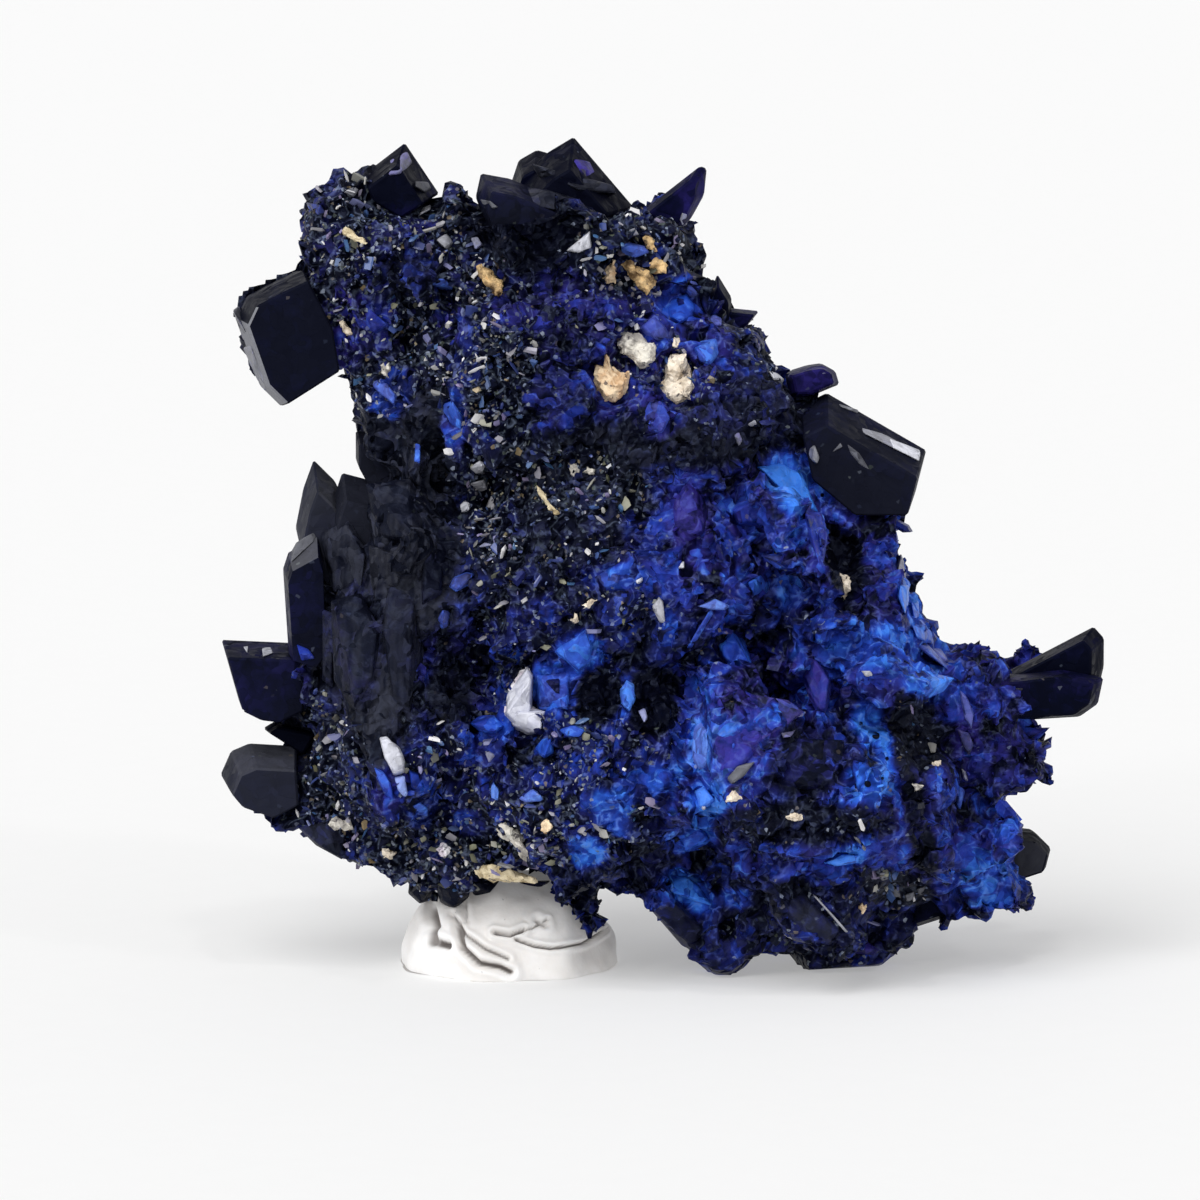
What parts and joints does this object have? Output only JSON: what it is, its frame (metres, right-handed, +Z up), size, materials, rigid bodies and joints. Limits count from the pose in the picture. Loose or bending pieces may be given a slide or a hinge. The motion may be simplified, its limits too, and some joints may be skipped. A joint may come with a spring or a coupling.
{
  "type": "azurite specimen",
  "caption": "Cluster of intergrown dark blue azurite crystals with pale matrix grains, standing on a lump of display putty.",
  "frame": {"origin": "centre of the footprint's bounding box, on the surface the specimen stands on", "axes": "+X along the specimen's width, to the right of the display side; +Y through its thickness, away from the display side; +Z up"},
  "size_m": [0.0338, 0.0192, 0.0318],
  "materials": {
    "azurite": "vitreous, near black in thick crystals and bright blue on thin faces",
    "putty": "translucent off-white putty, folded and creased",
    "cream_grain": "matte, sugary",
    "grey_grain": "matte, sugary",
    "ochre_grain": "matte, iron-stained",
    "white_crystal": "pearly"
  },
  "bodies": {
    "root": {"azurite_cluster": "azurite", "display_putty": "putty", "cream_grain_left": "cream_grain", "cream_grain_right": "cream_grain", "grey_grain": "grey_grain", "ochre_grain_left": "ochre_grain", "ochre_grain_right": "ochre_grain", "white_crystal": "white_crystal", "ivory_chip": "cream_grain", "ochre_strip": "ochre_grain"}
  },
  "joints": []
}
